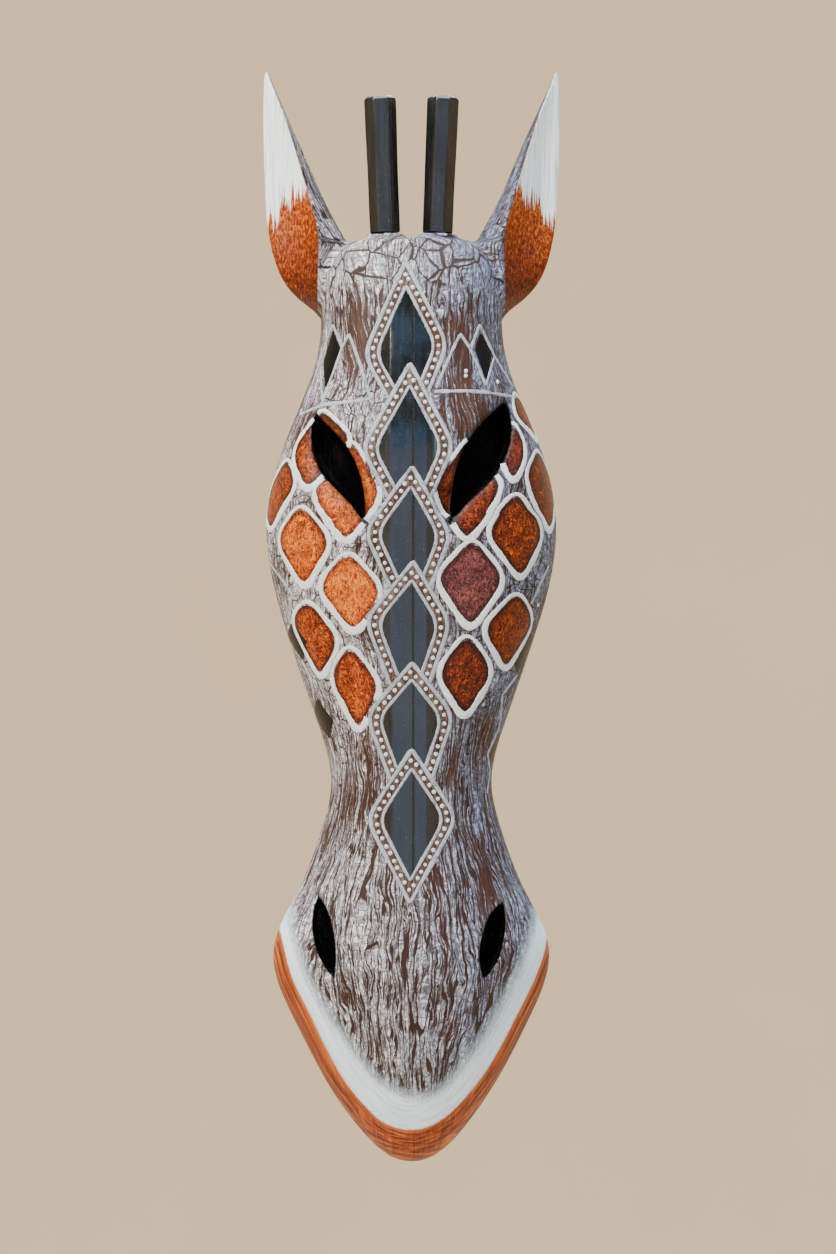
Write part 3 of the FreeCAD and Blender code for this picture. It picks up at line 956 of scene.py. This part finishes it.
def black_lacquer(g, stroke_scale, rough, coat, facets=None):
    """Brushed-on black lacquer with long strokes and a little dust."""
    strokes = g.noise(g.where((1, 1, 0.02)), stroke_scale, 4.0, 0.6)
    blot = g.noise(g.where((1, 1, 0.3)), 140, 3.0, 0.6)
    dust = g.band(g.noise(g.where(), 1700, 2.0, 0.5), 0.66, 0.74)
    colour = g.ramp(g.times(strokes, blot), [(0.16, (0.001, 0.0014, 0.002)), (0.40, (0.006, 0.008, 0.011))])
    colour = g.mix(g.times(dust, 0.35), colour, srgb(120, 118, 114))
    roughness = g.band(g.sum(strokes, blot), 0.7, 1.3, rough, rough + 0.12)
    relief = g.sum(g.times(strokes, 0.6), g.times(blot, 0.6))
    g.shader.inputs["Coat Weight"].default_value = coat
    g.shader.inputs["Coat Roughness"].default_value = 0.08
    return g.finish(colour, roughness, g.bump(relief, 0.0001, facets))


def nose_lacquer():
    """Lacquer over the long flats cut down the nose."""
    g = Graph("nose_lacquer")
    x = g.node("ShaderNodeSeparateXYZ", {"Vector": g.where()}).outputs["X"]
    left = g.math("MAXIMUM", g.less(FACET_LEFT, x), 0.0)
    right = g.math("MAXIMUM", g.less(x, FACET_RIGHT), 0.0)
    ridge = g.math("ABSOLUTE", g.less(x, FACET_RIDGE))
    groove = g.math("MAXIMUM", g.less(RIDGE_GROOVE, ridge), 0.0)
    fall = g.sum(g.times(left, LEFT_TILT), g.times(right, RIGHT_TILT))
    fall = g.sum(fall, g.sum(g.times(ridge, RIDGE_TILT), groove))
    flats = g.bump(g.less(0.0, fall), 1.0)
    return black_lacquer(g, 420, 0.10, 0.3, flats)


def recess_black_and_shade():
    """Thin dull black inside the eyes and nostrils: their black paint, darkened further as painted shade of
    the deep recesses.
    """
    g = Graph("recess_black_and_shade")
    strokes = g.noise(g.where((1, 1, 0.2)), 700, 4.0, 0.6)
    dust = g.band(g.noise(g.where(), 1500, 2.0, 0.5), 0.64, 0.74)
    # Near-zero black: the paint's own black with painted shade of the deep recess in it.
    colour = g.mix(g.times(dust, 0.25), (0.0004, 0.0004, 0.0005), srgb(60, 60, 60))
    g.shader.inputs["Specular IOR Level"].default_value = 0.01
    return g.finish(colour, g.band(strokes, 0.3, 0.7, 0.22, 0.4), g.bump(strokes, 0.0004))


def plated_steel(name, tint, rough):
    """Dull zinc plate with fine scratches and darker handling marks."""
    g = Graph(name)
    scratches = g.noise(g.where((1, 1, 0.12)), 2600, 4.0, 0.6)
    marks = g.noise(g.where(), 260, 4.0, 0.6)
    dark = tuple(v * 0.45 for v in tint)
    colour = g.ramp(marks, [(0.32, dark), (0.62, tint)])
    roughness = g.band(g.sum(scratches, marks), 0.7, 1.3, rough, rough + 0.25)
    g.shader.inputs["Metallic"].default_value = 1.0
    return g.finish(colour, roughness, g.bump(scratches, 0.00005))


# ---------------------------------------------------------------- carving the head

# In millimetres, unless the comment says metres.
HEAD_VOXEL = 0.00128       # metres
CHISEL_DEPTH = 0.22
GOUGE_DEPTH = 1.1
PAINT_BED = 0.85           # how far the nose is set back, so its raised paint stays in size
SCOOP_REACH = 9.0          # soft hollow round an eye
SCOOP_DEPTH = 2.0
NOSE_FACETS = (-18.0, -8.6, 0.9, 9.6, 18.5)
FACET_STEP = 2.0           # between the heights where the facets' edges are found
FACET_HEIGHTS = np.arange(120.0, 408.0, FACET_STEP)
HOLLOW_TOP = 408.0         # above the chin
HOLLOW_SIDE = 0.056        # metres from the centre line
CLEAR_OF_SKIN = 0.0004     # metres; where a ray starts, so it misses the skin it comes from
WAY_OUT_LEAN = 0.3         # how far the way to the wall leans away from the hollow's side, as a share
RIM_Y = -0.0009            # metres; the flat rim lies behind this
FRONT_Y = -0.012           # metres; the skin the recesses are cut in lies before this
RECESS_SPILL = 0.25        # how far the black runs out over a recess's edge
FAR_AWAY = 60.0            # carries a painted outline off the back
SHEET_LIFT = 0.00006       # metres; of the lacquer above the head
UNDER_LINE = 0.3           # how far the nose's lacquer runs on under the sand line
INSIDE_LIP = 0.2           # how far inside a recess its lacquer starts
HORN_VOXEL = 0.0006        # metres
HORN_CHISEL_DEPTH = 0.14
HORN_CHISEL_PITCH = 1.7    # its waves are this much closer than the head's
TO_WALL = Vector((0, 1, 0))
TO_RIGHT = Vector((1, 0, 0))


def recess_outlines():
    return [leaf_outline(leaf) for leaf in (LEFT_EYE, RIGHT_EYE, LEFT_NOSTRIL, RIGHT_NOSTRIL)]


def nearest_of(points, outlines):
    return np.min([signed_distance(points, outline) for outline in outlines], axis=0)


def chisel_waves(points):
    """Slow unevenness of hand carving, from -1 to 1."""
    x, y, z = (points / MM).T
    waves = np.sin(z / 11 + 1.3 * np.sin(x / 13)) + np.sin(x / 7 + z / 23) + np.sin((z - 2 * y) / 17 + 2)
    return waves / 3


def gouge_marks(points):
    """Rows of short scoops left by a gouge, from 0 to 1."""
    x, y, z = (points / MM).T
    row = np.floor(x / 8.5)
    across = np.abs(np.sin(math.pi * x / 8.5))
    along = np.abs(np.sin(math.pi * (z + 9 * (row % 3) + 0.4 * y) / 26))
    return across ** 0.7 * along ** 0.5


def nose_facets(mesh, front, points):
    """How far the nose drops back to flat facets between its long edges, in metres."""
    tree = tree_of(mesh, points)
    heights = FACET_HEIGHTS
    edge_y = np.zeros((len(heights), len(NOSE_FACETS)))
    for row, height in enumerate(heights):
        for column, x in enumerate(NOSE_FACETS):
            start = Vector((x * MM, -0.2, CHIN_Z + height * MM))
            edge_y[row, column] = tree.ray_cast(start, TO_WALL)[0].y
    place = np.clip((front[:, 1] - heights[0]) / FACET_STEP, 0, len(heights) - 1)
    levels = [np.interp(place, np.arange(len(heights)), edge) for edge in edge_y.T]
    flat_y = np.full(len(front), -1.0)
    for left, right, y_left, y_right in zip(NOSE_FACETS, NOSE_FACETS[1:], levels, levels[1:]):
        share = (front[:, 0] - left) / (right - left)
        between = (share >= 0) & (share <= 1)
        flat_y = np.where(between, y_left + (y_right - y_left) * share, flat_y)
    fade = plateau(front[:, 1], 118, 126, 398, 406)
    return np.clip(flat_y - points[:, 1], 0, 0.004) * fade


def carve(mesh, recesses):
    """Hand-carved unevenness, scoops round the eyes, facets on the nose, gouging in the hollow."""
    points = coordinates(mesh)
    normals = vertex_normals(mesh)
    front = square_on(points)
    facing = smoothstep(-normals[:, 1], 0.1, 0.5)
    free = smoothstep(-points[:, 1], 0.0012, 0.006)
    depth = CHISEL_DEPTH * (1 + chisel_waves(points)) * free

    hollow = in_hollow(tree_of(mesh, points), points, normals)
    depth += GOUGE_DEPTH * gouge_marks(points) * hollow * free
    points -= normals * depth[:, None] * MM
    eye = nearest_of(front, recesses[:2])
    scoop = np.clip(1 - eye / SCOOP_REACH, 0, 1) ** 2 * SCOOP_DEPTH
    scoop *= smoothstep(-np.abs(front[:, 0]), -62, -50)
    back_by = scoop + PAINT_BED * smoothstep(-points[:, 1], 0.058, 0.070)
    points[:, 1] += back_by * (1 - hollow) * smoothstep(-points[:, 1], 0.012, 0.022) * MM
    points[:, 1] += nose_facets(mesh, front, points) * facing
    set_coordinates(mesh, points)


def in_hollow(tree, points, normals):
    """1 where the way to the wall is free and there is wood on both sides."""
    found = np.zeros(len(points))
    starts = points + normals * CLEAR_OF_SKIN
    within = (square_on(points)[:, 1] < HOLLOW_TOP) & (np.abs(points[:, 0]) < HOLLOW_SIDE)
    candidates = within & (normals[:, 1] > -0.5)
    for index in np.flatnonzero(candidates):
        start = Vector(starts[index])
        if tree.ray_cast(start, TO_WALL + Vector(normals[index]) * WAY_OUT_LEAN)[0]:
            continue
        if tree.ray_cast(start, TO_RIGHT)[0] and tree.ray_cast(start, -TO_RIGHT)[0]:
            found[index] = 1.0
    return found


def spread(mesh, shares, steps):
    """Each vertex takes the largest share among its neighbours, as often as there are steps."""
    edges = np.zeros(len(mesh.edges) * 2, dtype=int)
    mesh.edges.foreach_get("vertices", edges)
    edges = edges.reshape(-1, 2)
    for _ in range(steps):
        largest = shares[edges].max(axis=1)
        np.maximum.at(shares, edges.ravel(), np.repeat(largest, 2))
    return shares


def tree_of(mesh, points):
    faces = [tuple(face.vertices) for face in mesh.polygons]
    return BVHTree.FromPolygons([tuple(p) for p in points], faces)


# ---------------------------------------------------------------- paint fields

def outlines_of(skin):
    """Every painted outline on the unrolled skin."""
    round_lozenge = {
        "inner": INNER_LINE, "dots": DOT_LINE, "outer": OUTER_LINE,
        "cover": OUTER_LINE + OUTER_WIDTH * 0.4}
    drawn = {name: [] for name in ("black", *round_lozenge, "spots", "borders", "marks")}
    for corners in LOZENGES:
        flat = skin.from_front(corners)
        drawn["black"].append(rounded(flat, LOZENGE_CUT))
        for name, distance in round_lozenge.items():
            drawn[name].append(rounded(grown(flat, distance), LOZENGE_CUT))
    for corners, _ in SPOTS:
        flat = skin.from_front(corners)
        swollen = flat.mean(axis=0) + (flat - flat.mean(axis=0)) * SPOT_SWELL
        drawn["spots"].append(rounded(swollen, SPOT_CUT))
        drawn["borders"].append(rounded(grown(swollen, BORDER_WIDTH / 2), SPOT_CUT))
    for corners, round_the_side in BLACK_MARKS:
        flat = skin.from_front(corners)
        furthest = np.argmax(np.abs(flat[:, 0]))
        flat[furthest, 0] += math.copysign(round_the_side, flat[furthest, 0])
        drawn["marks"].append(rounded(flat, 1.5))
    return drawn


def lozenge_distance(flat, drawn):
    """Distance from the black of the lozenges, less what the next one covers."""
    parts = []
    for index, outline in enumerate(drawn["black"]):
        distance = signed_distance(flat, outline)
        for cover in drawn["cover"][index + 1:index + 2]:
            distance = np.maximum(distance, -signed_distance(flat, cover))
        parts.append(distance)
    return np.min(parts, axis=0)


def lip_distance(front, line):
    """Distance outside an open line across the muzzle, as seen from the front."""
    closed = np.vstack([smooth_path(line, 3, closed=False), [(line[-1][0], 180.0), (line[0][0], 180.0)]])
    distance = signed_distance(front, closed)
    return np.where(front[:, 1] < 118, distance, -20.0)


def spot_fields(flat, drawn):
    """Distance from the nearest spot, and that spot's lightness."""
    distances = np.array([signed_distance(flat, outline) for outline in drawn["spots"]])
    spot_tones_and_shade = np.array([tone for _, tone in SPOTS])
    cover = nearest_of(flat, drawn["cover"])
    return np.maximum(distances.min(axis=0), -cover), spot_tones_and_shade[distances.argmin(axis=0)]


def worn_field(front):
    """Sum of the soft worn patches."""
    total = np.zeros(len(front))
    for x, height, across, up, strength in WORN:
        reach = ((front[:, 0] - x) / across) ** 2 + ((front[:, 1] - height) / up) ** 2
        total += strength * np.exp(-reach)
    return total


def grain_across(flat, front, points):
    """Distance across the grain, squeezed and spread with the head so the grain follows its outline."""
    tall = np.clip(front[:, 1], 0, 500)
    levels = np.arange(0, 505, 5.0)
    widths = np.ones(len(levels))
    for i, level in enumerate(levels):
        near = np.abs(tall - level) < 3
        widths[i] = max(np.abs(front[near, 0]).max(), 38.0) if near.any() else 50.0
    widths = np.where(levels > 385, 50.0, np.minimum(widths, 62.0))
    widths = np.convolve(np.pad(widths, 4, "edge"), np.ones(9) / 9, "valid")
    return flat[:, 0] / np.interp(tall, levels, widths) * 50.0


def paint_fields(mesh, tree, skin, drawn, recesses):
    """Gives the head what its material reads, in millimetres unless it is a share.

    Returns the distances from the lozenges and from the recesses.
    """
    points = coordinates(mesh)
    normals = vertex_normals(mesh)
    flat = skin.unroll(points)
    front = as_drawn(points)
    square = square_on(points)
    hollow = spread(mesh, in_hollow(tree, points, normals), 2)
    back = np.maximum(hollow, (points[:, 1] > RIM_Y).astype(float))
    away = FAR_AWAY * back
    spot, tone = spot_fields(flat, drawn)
    off_front = np.where(points[:, 1] < FRONT_Y, 0.0, FAR_AWAY)
    recessed = nearest_of(square, recesses) - RECESS_SPILL + off_front
    marks = nearest_of(flat, drawn["marks"])
    ridge = np.interp(front[:, 1], *zip(*EAR_RIDGE))
    outside_ridge = np.abs(front[:, 0]) - ridge
    on_ear = np.minimum(outside_ridge, (front[:, 1] - EAR_FACE_BOTTOM) * 0.7)
    on_ear = np.where(normals[:, 1] < 0.15, on_ear, -9.0)
    right_eye = signed_distance(square, recesses[1])
    upper_nose_side = smoothstep(front[:, 1] * 0.6 - front[:, 0], 170, 184)
    eye_shade = smoothstep(-right_eye, -9.0, -1.0) * upper_nose_side * 0.9
    left_eye = signed_distance(square, recesses[0])
    eye_shade = np.maximum(eye_shade, smoothstep(-np.minimum(left_eye, right_eye), -5.0, 0.3) * 0.65)

    fields = {
        "across": grain_across(flat, front, points),
        "tall": front[:, 1],
        "worn": worn_field(front),
        "shells": plateau(front[:, 1], 392, 408, 426, 434),
        "granular": plateau(front[:, 1], 165, 215, 345, 372),
        "spot": spot + away,
        "spot_tone_and_shade": tone,
        "black": np.minimum(recessed, marks) + away,
        "band": nearest_of(flat, drawn["cover"]) + away,
        "lip_grey": lip_distance(front, LIP_GREY),
        "lip_white": lip_distance(front, LIP_WHITE),
        "ear": on_ear,
        "ear_x": square[:, 0],
        "ear_edge": front[:, 1] - EAR_BROWN_TOP + outside_ridge * 0.75,
        "eye_shade": eye_shade,
        "back": back,
    }
    for name, values in fields.items():
        add_field(mesh, name, values)
    return lozenge_distance(flat, drawn) + away, recessed + away


def build_head(material):
    """The carved block with its paint fields."""
    piece = remeshed_copy("carved_head", "giraffe_head", HEAD_VOXEL)
    mesh = piece.data
    recesses = recess_outlines()
    carve(mesh, recesses)
    tree = tree_of(mesh, coordinates(mesh))
    skin = Skin(tree, recesses)
    drawn = outlines_of(skin)
    drawn["recesses"] = recesses
    lozenge, recessed = paint_fields(mesh, tree, skin, drawn, recesses)
    finish_mesh(mesh, material)
    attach(piece, "head")
    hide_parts("carved_head")
    return piece, skin, drawn, lozenge, recessed


def build_sheet(name, head, inside, material):
    """Thin coat over the part of the head where inside holds."""
    points = coordinates(head.data) + vertex_normals(head.data) * SHEET_LIFT
    kept = [tuple(face.vertices) for face in head.data.polygons if inside[list(face.vertices)].all()]
    used = sorted({index for face in kept for index in face})
    number = {index: place for place, index in enumerate(used)}
    faces = [tuple(number[index] for index in face) for face in kept]
    sheet = new_mesh_object(name, points[used], faces, material)
    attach(sheet, "head")


# ---------------------------------------------------------------- raised paint

def hidden_by(path, covers, margin=0.0):
    """Which points of a path lie under later paint."""
    hidden = np.zeros(len(path), bool)
    for cover in covers:
        hidden |= signed_distance(path, cover) < margin
    return hidden


def over_recess(skin, path, recesses, margin=0.3):
    """Which points of a path lie over an eye or a nostril."""
    return hidden_by(square_on(skin.place(path)), recesses, margin)


def build_lozenge_paint(skin, drawn, grey, white):
    """Two sand lines and a row of dots round each lozenge."""
    lines = Ribbons(skin)
    dots = Ribbons(skin)
    for index in range(len(LOZENGES)):
        covers = drawn["cover"][index + 1:index + 2]
        for outline, width in ((drawn["inner"][index], INNER_WIDTH), (drawn["outer"][index], OUTER_WIDTH)):
            path = resampled(outline, 0.9, True)
            for run, closed in open_runs(path, hidden_by(path, covers, -width * 0.3)):
                lines.line(run, width, LINE_LIFT, closed)
        row = resampled(drawn["dots"][index], DOT_PITCH, True)
        row = row[~hidden_by(row, covers, DOT_RADIUS)]
        dots.dots(row + RNG.uniform(-0.3, 0.3, row.shape), DOT_RADIUS, DOT_LIFT)
    lines.piece("lozenge_sand_lines", grey)
    dots.dots(skin.from_front(LOOSE_DOTS), DOT_RADIUS, DOT_LIFT)
    dots.piece("paint_dots", white)


def build_spot_borders(skin, drawn, white):
    """Thick white border round each brown spot, heavier below."""
    borders = Ribbons(skin)
    for outline in drawn["borders"]:
        path = resampled(outline, 0.9, True)
        hidden = over_recess(skin, path, drawn["recesses"]) | hidden_by(path, drawn["cover"], 0.2)
        below = (path[:, 1].mean() - path[:, 1]) / np.ptp(path[:, 1])
        width = BORDER_WIDTH * (1.08 + 0.6 * below)
        for run, closed in open_runs(path, hidden):
            chosen = width if closed else np.interp(run[:, 1], np.sort(path[:, 1]), np.sort(width)[::-1])
            borders.line(run, chosen, BORDER_LIFT, closed, wobble=0.16)
    borders.piece("spot_borders", white)


def build_thin_lines(skin, drawn, grey):
    """Thin sand lines on the neck and the sides."""
    lines = Ribbons(skin)
    for drawing in THIN_LINES:
        path = skin.from_front(resampled(as_array(drawing), 0.8, False))
        lines.line(resampled(path, 0.9, False), THIN_LINE, THIN_LIFT, False, wobble=0.2)
    lines.piece("thin_sand_lines", grey)


# ---------------------------------------------------------------- horns

def build_horn(name, material):
    """Peg with softened edges and slightly uneven faces."""
    horn = remeshed_copy(name, name + "_lacquered", HORN_VOXEL)
    points = coordinates(horn.data)
    normals = vertex_normals(horn.data)
    depth = HORN_CHISEL_DEPTH * (1 + chisel_waves(points * HORN_CHISEL_PITCH))
    set_coordinates(horn.data, points - normals * depth[:, None] * MM)
    finish_mesh(horn.data, material)
    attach(horn, "head")
    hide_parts(name)


# ---------------------------------------------------------------- stage, light and camera

FLOOR_Z = -2.4
SWEEP_RADIUS = 6.0
SWEEP_BEND = 1.8
SWEEP_TOP = 3.2
SWEEP_SIDES = 96
SWEEP_STEPS = 12
LENS_MM = 135.0
SENSOR_MM = 36.0
OBJECT_SHARE = 0.870       # of the picture's height
ROOM_ABOVE = 0.0558        # of the picture's height
AIM_PLANE_Y = -0.012
AIM_X = 0.003


def build_stage():
    """Pale floor that curves up all round into a far backdrop."""
    g = Graph("pale_floor")
    tone = g.noise(g.where(), 1.5, 3.0)
    g.finish(g.ramp(tone, [(0.3, srgb(232, 210, 176)), (0.7, srgb(238, 217, 185))]), 0.9)
    profile = [(0.01, FLOOR_Z), (3.0, FLOOR_Z)]
    for step in range(SWEEP_STEPS + 1):
        angle = step / SWEEP_STEPS * math.pi / 2
        bend = SWEEP_BEND * math.sin(angle)
        rise = SWEEP_BEND * (1 - math.cos(angle))
        profile.append((SWEEP_RADIUS + bend, FLOOR_Z + rise))
    profile.append((SWEEP_RADIUS + SWEEP_BEND, SWEEP_TOP))
    vertices = []
    for radius, z in profile:
        for side in range(SWEEP_SIDES):
            angle = side * 2 * math.pi / SWEEP_SIDES
            vertices.append((radius * math.cos(angle), radius * math.sin(angle), z))
    faces = tube_faces(0, len(profile), SWEEP_SIDES)
    new_mesh_object("floor_sweep", vertices, faces, g.material)


def area_light(name, place, target, size, power, colour):
    data = bpy.data.lights.new(name, "AREA")
    data.shape = "RECTANGLE"
    data.size, data.size_y = size
    data.energy = power
    data.color = colour
    light = new_object(name, data)
    light.location = place
    light.rotation_euler = (Vector(target) - Vector(place)).to_track_quat("-Z", "Y").to_euler()


def build_lights():
    world = bpy.data.worlds.new("studio")
    bpy.context.scene.world = world
    world.use_nodes = True
    background = world.node_tree.nodes["Background"]
    background.inputs["Color"].default_value = (0.90, 0.94, 1.0, 1)
    background.inputs["Strength"].default_value = 0.34
    middle = (0, 0, -0.15)
    area_light("warm_key", (-1.35, -1.5, 1.15), middle, (0.7, 0.7), 96, (1.0, 0.92, 0.80))
    area_light("cool_side", (1.95, -1.0, 0.95), middle, (0.7, 1.0), 16, (0.46, 0.68, 1.0))
    area_light("left_card", (-0.44, -2.35, -0.35), (-0.44, 0, -0.35), (0.78, 3.4), 12, (0.20, 0.54, 1.0))
    area_light("right_card", (0.46, -2.35, -0.35), (0.46, 0, -0.35), (0.78, 3.4), 12, (0.20, 0.54, 1.0))
    area_light("olive_card", (-1.75, -1.8, -0.5), middle, (1.2, 3.0), 8, (1.0, 0.84, 0.54))
    area_light("back_left", (-0.6, 1.9, 2.3), middle, (0.9, 0.9), 40, (1.0, 0.93, 0.84))
    area_light("back_right", (0.7, 1.9, 2.1), middle, (0.9, 0.9), 40, (0.92, 0.96, 1.0))
    area_light("room", (0, 0, 4.6), (0, 0.4, 0), (5.0, 5.0), 680, (0.90, 0.98, 1.0))


def build_camera():
    """Straight on, at the distance that fills the frame with the object."""
    low, high = CAD_BOUNDS
    frame_height = (high.z - low.z) / OBJECT_SHARE
    data = bpy.data.cameras.new("camera")
    data.lens = LENS_MM
    data.sensor_width = SENSOR_MM
    data.clip_end = 60
    camera = new_object("camera", data)
    z = high.z + frame_height * (ROOM_ABOVE - 0.5)
    camera.location = (AIM_X, AIM_PLANE_Y - frame_height * LENS_MM / SENSOR_MM, z)
    camera.rotation_euler = (math.pi / 2, 0, 0)
    bpy.context.scene.camera = camera


# ---------------------------------------------------------------- everything

def dress_node(name, material):
    """A CAD node that keeps its shape gets its detailed material."""
    mesh = NODES[name].data
    mesh.materials.clear()
    mesh.materials.append(material)


def main():
    grey = sand_paint("sand_paint_grey", srgb(88, 92, 102), srgb(186, 194, 208))
    white = sand_paint("border_paint_white", srgb(206, 216, 220), srgb(242, 250, 255))
    head, skin, drawn, lozenge, recessed = build_head(painted_wood())
    build_sheet("lozenge_lacquer", head, lozenge < INNER_LINE + UNDER_LINE, nose_lacquer())
    build_sheet("recess_lacquer_and_shade", head, recessed < -INSIDE_LIP, recess_black_and_shade())
    build_lozenge_paint(skin, drawn, grey, white)
    build_spot_borders(skin, drawn, white)
    build_thin_lines(skin, drawn, grey)
    horn_lacquer = black_lacquer(Graph("horn_lacquer"), 700, 0.18, 0.1)
    build_horn("left_ossicone", horn_lacquer)
    build_horn("right_ossicone", horn_lacquer)
    dress_node("hanger_strap", plated_steel("strap_steel", (0.45, 0.44, 0.41), 0.3))
    dress_node("hanger_ring", plated_steel("ring_wire", (0.52, 0.5, 0.46), 0.22))
    dress_node("hanger_screws", plated_steel("screw_steel", (0.38, 0.36, 0.33), 0.35))
    build_stage()
    build_lights()
    build_camera()


main()
bpy.context.view_layer.update()
